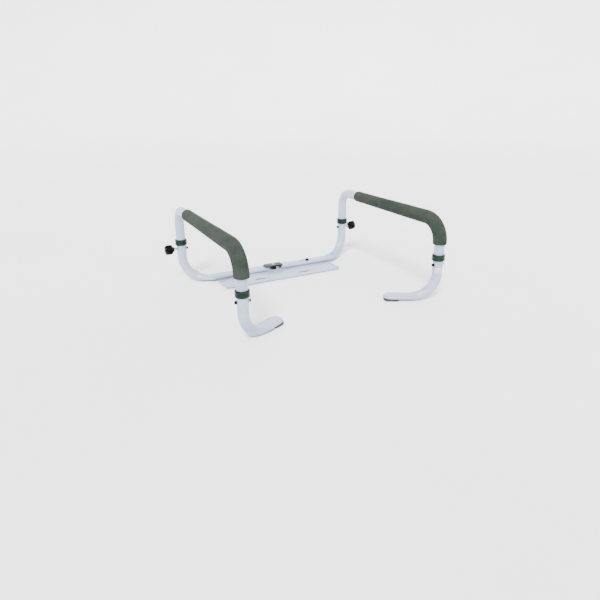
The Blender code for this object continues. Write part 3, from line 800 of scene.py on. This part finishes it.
def nut_mesh(radius=NUT_R, length=NUT_LENGTH):
    """Domed cap nut with a flange and six flats."""
    hole = HOLE_R
    profile = [(0.0, length * 0.73), (hole, length * 0.73), (hole, 0.0), (radius, 0.0),
               (radius, length * 0.16), (radius * 0.93, length * 0.22), (radius * 0.93, length * 0.50),
               (radius * 0.84, length * 0.78), (radius * 0.50, length * 0.96), (0.0, length)]
    mesh = turned_mesh("nut", softened(profile, 0.0004, 3), 48)
    for vertex in mesh.vertices:
        reach = math.hypot(vertex.co.x, vertex.co.y)
        if length * 0.18 < vertex.co.z < length * 0.75 and reach > hole * 1.05:
            angle = math.atan2(vertex.co.y, vertex.co.x)
            apart = abs((angle + math.pi / 6) % (math.pi / 3) - math.pi / 6)
            limit = max(radius * 0.82, hole * 1.12) / math.cos(apart)
            if reach > limit:
                vertex.co.x *= limit / reach
                vertex.co.y *= limit / reach
    return mesh


def make_front_bolt(side):
    """The front cross bolt with a washer and a cap nut on each end."""
    label = LABELS[side]
    body = label + "_side"
    place = outward(side, FRONT_Y, BOLT_Z)
    back = place @ Matrix.Rotation(math.pi, 4, "X")
    half = box_size(label + "_front_bolt").x / 2
    profile = [(0.0, -half), (BOLT_R, -half), (BOLT_R, half), (0.0, half)]
    add_piece(label + "_front_shank", turned_mesh("shank", softened(profile, 0.0005, 3), 40), STEEL, body,
              label + "_front_bolt", place)
    for end, matrix in (("outer", place), ("inner", back)):
        node = label + "_front_" + end
        seat = matrix @ Matrix.Translation((0, 0, WASHER_START))
        cap = matrix @ Matrix.Translation((0, 0, CAP_START))
        add_piece(node + "_disc", washer_mesh(), STEEL, body, node + "_washer", seat)
        add_piece(node + "_cap", nut_mesh(), BLACK, body, node + "_nut", cap)


def knob_section(scale, height, lobe_depth):
    """One ring of the star knob: six soft lobes."""
    count = 96
    ring = []
    for step in range(count):
        angle = 2 * math.pi * step / count
        wave = math.cos(6 * angle)
        radius = scale - lobe_depth * (0.5 - 0.5 * wave) ** LOBE_SHARPNESS
        ring.append(Vector((radius * math.cos(angle), radius * math.sin(angle), height)))
    return ring


def knob_mesh(start, length):
    """Star knob: round hub, scalloped head with a crowned face and a shallow dish in it."""
    top = start + length
    hub = KNOB_HUB_R
    crown = KNOB_CROWN_R
    deep = KNOB_LOBE
    stages = [(KNOB_BORE_R, start, 0.0), (hub - 0.0005, start, 0.0), (hub, start + 0.0005, 0.0),
              (hub, start + 0.0034, 0.0), (hub + 0.0006, start + 0.0042, 0.0),
              (crown - 0.0030, start + 0.0046, deep * 0.5), (crown - 0.0012, start + 0.0050, deep * 0.85),
              (crown - 0.0003, start + 0.0060, deep), (crown, start + 0.0080, deep),
              (crown, top - 0.0060, deep), (crown - 0.0004, top - 0.0036, deep),
              (crown - 0.0014, top - 0.0018, deep * 0.9), (crown - 0.0032, top - 0.0007, deep * 0.65),
              (crown - 0.0056, top - 0.0001, deep * 0.3), (0.0066, top, 0.0), (0.0058, top - 0.0004, 0.0),
              (0.0050, top - 0.0012, 0.0), (0.0030, top - 0.0014, 0.0), (0.0010, top - 0.0014, 0.0)]
    rings = [knob_section(scale, height, depth) for scale, height, depth in stages]
    inner = [knob_section(0.0010, SOCKET_END, 0.0), knob_section(KNOB_BORE_R, SOCKET_END, 0.0)]
    return skin_mesh("star_knob", inner + rings)


def make_knob(side):
    """The star knob and its shouldered screw, with the washers and nut on it."""
    label = LABELS[side]
    place = outward(side, REAR_Y, BOLT_Z)
    back = place @ Matrix.Rotation(math.pi, 4, "X")
    low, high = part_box(label + "_star_knob")
    start = min(abs(low[0]), abs(high[0])) - POST_X
    length = abs(high[0] - low[0])
    body = label + "_knob"
    add_piece(label + "_knob_head", knob_mesh(start, length), BLACK, body,
              label + "_star_knob", place)
    reach = box_size(label + "_knob_screw").x - SHOULDER_END
    profile = [(0.0, -reach), (BOLT_R, -reach), (BOLT_R, CAP_START), (SHOULDER_R, CAP_START),
               (SHOULDER_R, SHOULDER_END), (0.0, SHOULDER_END)]
    add_piece(label + "_knob_stud", turned_mesh("stud", softened(profile, 0.0004, 3), 40), STEEL, body,
              label + "_knob_screw", place)
    seat = Matrix.Translation((0, 0, WASHER_START))
    add_piece(label + "_knob_disc", washer_mesh(), STEEL, label + "_side",
              label + "_knob_washer", place @ seat)
    add_piece(label + "_rear_disc", washer_mesh(), STEEL, label + "_side",
              label + "_rear_washer", back @ seat)
    add_piece(label + "_rear_cap", nut_mesh(), BLACK, label + "_side", label + "_rear_nut",
              back @ Matrix.Translation((0, 0, CAP_START)))


# ---------------------------------------------------------------- bracket, pads and label

def make_plate():
    """Powder-coated plate with soft edges, hinge slots and bolt holes."""
    size = PLATE_HIGH - PLATE_LOW
    centre = (PLATE_HIGH + PLATE_LOW) / 2
    outline = rounded_rectangle(size.x / 2, size.y / 2, PLATE_CORNER_R, 12)
    place = Matrix.Translation(centre)
    piece = add_piece("bracket_plate", plate_mesh("bracket_plate", outline, size.z), WHITE, "root",
                      "mounting_plate", place)
    hinge_y = PLATE_LOW.y + HINGE_FROM_EDGE
    below = centre.z - 0.005
    for side in (-1, 1):
        hinge = Matrix.Translation((side * HINGE_X, hinge_y, centre.z))
        carve(piece, slot_mesh(*HINGE_SLOT, 0.01), hinge)
        carve(piece, cylinder_mesh(HOLE_R, 0.01), Matrix.Translation((side * CLAMP_X, BAR_Y, below)))
    carve(piece, cylinder_mesh(SCREW_HOLE_R, 0.01), Matrix.Translation((0, BAR_Y, below)))
    round_edges(piece, 0.0007)
    apply_modifiers(piece)


def make_guide():
    """Dark moulded guide over the bar ends, with its boss between them."""
    size = GUIDE_HIGH - GUIDE_LOW
    centre = Matrix.Translation((0, BAR_Y, GUIDE_HIGH.z - COVER_T / 2))
    cover = plate_mesh("bar_guide", rounded_rectangle(size.x / 2, size.y / 2, 0.004), COVER_T)
    piece = add_piece("bar_guide", cover, GREEN, "root", "centre_guide", centre)
    depth = size.z - COVER_T + 0.001
    boss = plate_mesh("boss", rounded_rectangle(BOSS_HALF_X, size.y / 2 - 0.002, 0.0015), depth)
    carve(piece, boss, Matrix.Translation((0, BAR_Y, GUIDE_LOW.z + depth / 2)), "UNION")
    carve(piece, cylinder_mesh(SCREW_HOLE_R, 0.03), Matrix.Translation((0, BAR_Y, 0.0)))
    for side in (-1, 1):
        rib = slot_mesh(0.010, 0.0022, 0.0016)
        for row in (-1, 0, 1):
            place = Matrix.Translation((side * RIB_X, BAR_Y + row * RIB_PITCH, GUIDE_HIGH.z))
            carve(piece, rib.copy(), place)
    round_edges(piece, 0.0005)
    apply_modifiers(piece)


def make_guide_screw():
    """Pan-head screw with a crossed recess."""
    head = GUIDE_HIGH.z + 0.0003
    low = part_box("guide_screw")[0][2]
    profile = [(0.0, low), (0.0021, low), (0.0021, head), (0.0045, head), (0.0045, head + 0.0009),
               (0.0036, head + 0.0019), (0.0020, head + 0.0024), (0.0, head + 0.0025)]
    mesh = turned_mesh("screw", softened(profile, 0.0004, 3), 40)
    piece = add_piece("bar_guide_screw", mesh, STEEL, "root", "guide_screw",
                      Matrix.Translation((0, BAR_Y, 0)))
    for turn in (0, 90):
        place = Matrix.Translation((0, BAR_Y, head + 0.0022)) @ Matrix.Rotation(math.radians(turn), 4, "Z")
        carve(piece, slot_mesh(0.0046, 0.0009, 0.0022), place)


def make_width_bolt(side):
    """The carriage bolt, washer and nut that clamp a bar to the plate."""
    label = LABELS[side]
    low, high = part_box(label + "_width_bolt")
    washer_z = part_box(label + "_width_washer")[0][2]
    nut_low, nut_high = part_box(label + "_width_nut")
    head_top = PLATE_LOW.z - 0.0003
    profile = [(0.0, low[2]), (0.0075, low[2] + 0.0003), (0.0080, head_top), (BOLT_R, head_top),
               (BOLT_R, high[2]), (0.0, high[2])]
    place = Matrix.Translation((side * CLAMP_X, BAR_Y, 0))
    bolt = turned_mesh("bolt", softened(profile, 0.0003, 2), 40)
    add_piece(label + "_carriage_bolt", bolt, STEEL, "root", label + "_width_bolt", place)
    add_piece(label + "_clamp_disc", washer_mesh(CLAMP_WASHER_R), STEEL, "root",
              label + "_width_washer", place @ Matrix.Translation((0, 0, washer_z)))
    nut = nut_mesh((nut_high[0] - nut_low[0]) / 2, nut_high[2] - nut_low[2])
    add_piece(label + "_clamp_cap", nut, BLACK, "root", label + "_width_nut",
              place @ Matrix.Translation((0, 0, nut_low[2])))


def make_front_pad(side):
    """Rubber pad under the tab, ribbed underneath."""
    label = LABELS[side]
    low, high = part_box(label + "_front_pad")
    centre = box_centre(label + "_front_pad")
    inward = Vector((-side * math.cos(FRONT_RUN_ANGLE), math.sin(FRONT_RUN_ANGLE), 0))
    height = high[2] - low[2]
    place = Matrix.Translation(centre) @ Matrix.Rotation(math.atan2(inward.y, inward.x), 4, "Z")
    mesh = plate_mesh("pad", rounded_rectangle(PAD_HALF_X, PAD_HALF_Y, PAD_CORNER_R), height)
    piece = add_piece(label + "_tab_pad", mesh, RUBBER, label + "_side",
                      label + "_front_pad", place)
    for row in (-2, -1, 0, 1, 2):
        groove = place @ Matrix.Translation((row * GROOVE_PITCH, 0, -height / 2))
        carve(piece, slot_mesh(0.026, 0.0018, 0.0018), groove @ Matrix.Rotation(math.pi / 2, 4, "Z"))
    round_edges(piece, 0.0006)
    apply_modifiers(piece)


def make_gasket(side):
    """A thin rubber sheet under the plate, with its hinge slot."""
    label = LABELS[side]
    size = box_size(label + "_gasket")
    place = Matrix.Translation(box_centre(label + "_gasket"))
    mesh = plate_mesh("gasket", rounded_rectangle(size.x / 2, size.y / 2, GASKET_CORNER_R), size.z)
    piece = add_piece(label + "_gasket_sheet", mesh, RUBBER, "root",
                      label + "_gasket", place)
    carve(piece, slot_mesh(*GASKET_SLOT, 0.01), place)
    round_edges(piece, 0.0003, 2)
    apply_modifiers(piece)


def label_half_height(across):
    """Half height of the sticker at a place across it, less at its rounded corners."""
    half_width = LABEL_HALF_ANGLE * TUBE_R
    inset = max(0.0, abs(across) * half_width - (half_width - LABEL_CORNER_R))
    drop = LABEL_CORNER_R - math.sqrt(max(0.0, LABEL_CORNER_R ** 2 - inset ** 2))
    return LABEL_HALF_HEIGHT - drop


def label_grid(shape, radius, columns=28, rows=6):
    """Columns of new vertices on one face of the sticker."""
    middle = Vector((POST_X, FRONT_Y, COLLAR_Z - LABEL_BELOW_COLLAR))
    grid = []
    for column in range(columns + 1):
        across = 2 * column / columns - 1
        angle = LABEL_FACING + across * LABEL_HALF_ANGLE
        edge = middle + Vector((radius * math.cos(angle), radius * math.sin(angle), 0))
        tall = label_half_height(across)
        grid.append([shape.verts.new(edge + Vector((0, 0, tall * (2 * row / rows - 1))))
                     for row in range(rows + 1)])
    return grid


def make_label():
    """A small blank sticker wrapped part way round the right front tube."""
    def build(shape):
        grids = [label_grid(shape, TUBE_R + 0.00004), label_grid(shape, TUBE_R + 0.00022)]
        for grid in grids:
            for left, right in zip(grid, grid[1:]):
                for row in range(len(left) - 1):
                    shape.faces.new((left[row], right[row], right[row + 1], left[row + 1]))
        close_edges(shape, grids)
    add_piece("blank_sticker", mesh_from(build, "sticker"), LABEL, "right_side")


def close_edges(shape, grids):
    """Join the rims of two matching grids of vertices."""
    rims = []
    for grid in grids:
        bottom = [column[0] for column in grid]
        top = [column[-1] for column in reversed(grid)]
        rims.append(bottom + grid[-1][1:-1] + top + grid[0][-2:0:-1])
    count = len(rims[0])
    for step in range(count):
        following = (step + 1) % count
        shape.faces.new((rims[0][step], rims[0][following], rims[1][following], rims[1][step]))


# ---------------------------------------------------------------- stage

CAMERA_AT = Vector((-0.63635, -1.20349, 0.51292))
CAMERA_YAW = 0.480
CAMERA_PITCH = 0.378
CAMERA_ROLL = -0.007
CAMERA_LENS = 31.74

FLOOR_RADIUS = 4.5
WALL_CURVE = 2.5
WALL_HEIGHT = 7.0


def make_camera():
    data = bpy.data.cameras.new("camera")
    data.lens = CAMERA_LENS
    data.sensor_width = 36.0
    data.clip_start = 0.01
    camera = bpy.data.objects.new("camera", data)
    bpy.context.scene.collection.objects.link(camera)
    reach = math.cos(CAMERA_PITCH)
    forward = Vector((math.sin(CAMERA_YAW) * reach, math.cos(CAMERA_YAW) * reach,
                      -math.sin(CAMERA_PITCH)))
    level = Vector((math.cos(CAMERA_YAW), -math.sin(CAMERA_YAW), 0))
    above = level.cross(forward)
    right = level * math.cos(CAMERA_ROLL) + above * math.sin(CAMERA_ROLL)
    up = above * math.cos(CAMERA_ROLL) - level * math.sin(CAMERA_ROLL)
    turn = Matrix((right, up, -forward)).transposed().to_4x4()
    camera.matrix_world = Matrix.Translation(CAMERA_AT) @ turn
    bpy.context.scene.camera = camera


def make_sun(name, towards, power, spread):
    """A soft distant light that comes from the given direction."""
    data = bpy.data.lights.new(name, "SUN")
    data.energy = power
    data.angle = math.radians(spread)
    light = bpy.data.objects.new(name, data)
    bpy.context.scene.collection.objects.link(light)
    light.rotation_euler = Vector(towards).to_track_quat("Z", "Y").to_euler()


def make_stage():
    nodes = Nodes("floor_paper")
    colour = nodes.ramp(nodes.noise(1.5, 3.0), [(0.3, (0.91, 0.91, 0.92)), (0.7, (0.94, 0.94, 0.95))])
    rough = nodes.spread(nodes.noise(30.0), 0.62, 0.74, 0.3, 0.7)
    material = nodes.finish(colour, rough, nodes.bump(nodes.noise(500.0, 3.0), 0.04, 0.0003))

    mesh = turned_mesh("backdrop", backdrop_profile(), 96)
    floor = bpy.data.objects.new("backdrop", mesh)
    bpy.context.scene.collection.objects.link(floor)
    for polygon in mesh.polygons:
        polygon.use_smooth = True
    mesh.materials.append(material)
    floor.visible_shadow = False
    world = bpy.data.worlds.new("studio")
    world.use_nodes = True
    background = world.node_tree.nodes["Background"]
    background.inputs["Color"].default_value = (0.94, 0.96, 1.0, 1.0)
    background.inputs["Strength"].default_value = 0.20
    bpy.context.scene.world = world
    make_sun("key", (-0.55, -0.70, 0.95), 8.2, 18)
    make_sun("overhead", (0.1, 0.15, 1.0), 2.0, 60)


def backdrop_profile():
    """A wide floor that curves up into a wall all round."""
    ground = CAD_BOX[0][2] - 0.0002
    profile = [(0.0, ground), (1.0, ground), (FLOOR_RADIUS, ground)]
    for step in range(1, 13):
        angle = math.pi / 2 * step / 12
        profile.append((FLOOR_RADIUS + WALL_CURVE * math.sin(angle),
                        ground + WALL_CURVE * (1 - math.cos(angle))))
    profile.append((FLOOR_RADIUS + WALL_CURVE, ground + WALL_HEIGHT))
    return profile


for SIDE in (-1, 1):
    make_handrail(SIDE)
    make_grip(SIDE)
    make_front_tube(SIDE)
    make_rear_tube(SIDE)
    make_collar(SIDE, "front", FRONT_Y)
    make_collar(SIDE, "rear", REAR_Y)
    make_front_bolt(SIDE)
    make_knob(SIDE)
    make_front_pad(SIDE)
    make_gasket(SIDE)
    make_width_bolt(SIDE)
make_plate()
make_guide()
make_guide_screw()
make_label()
make_camera()
make_stage()
